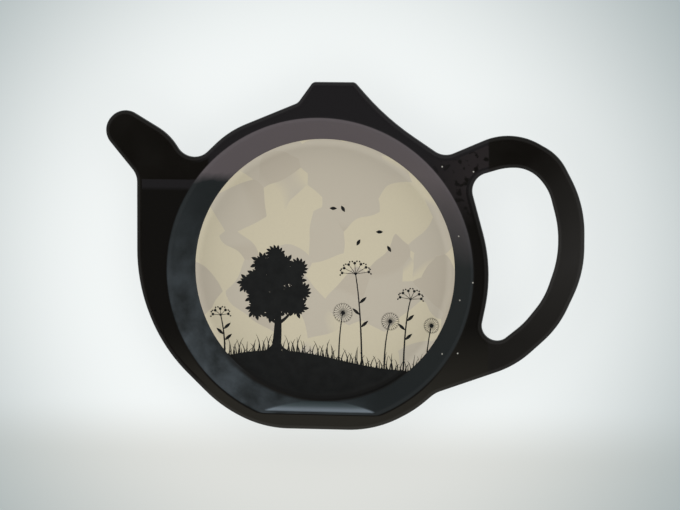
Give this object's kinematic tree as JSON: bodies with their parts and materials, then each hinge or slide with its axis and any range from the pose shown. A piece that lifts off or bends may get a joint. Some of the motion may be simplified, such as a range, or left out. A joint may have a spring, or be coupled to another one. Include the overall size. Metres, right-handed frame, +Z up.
{
  "type": "tea bag rest",
  "caption": "Shallow teapot-shaped melamine dish with a flat-floored round well, a spout, a lid knob and an open handle loop, for resting used tea bags.",
  "frame": {"origin": "under the middle of the teapot outline, on the surface that the foot ring stands on", "axes": "+Z up out of the open well, +X along the longest extent towards the handle, +Y towards the lid knob"},
  "size_m": [0.1202, 0.0872, 0.01],
  "materials": {
    "tray": "gloss black moulded melamine",
    "foil_border": "dark slate print under a clear gloss glaze",
    "foil_moon": "pale mottled print under a clear gloss glaze",
    "foil_meadow": "black print under a clear gloss glaze",
    "glaze": "clear gloss melamine glaze"
  },
  "bodies": {
    "root": {"tray": "tray", "foil_border": "foil_border", "foil_moon": "foil_moon", "foil_meadow": "foil_meadow", "glaze": "glaze"}
  },
  "joints": []
}
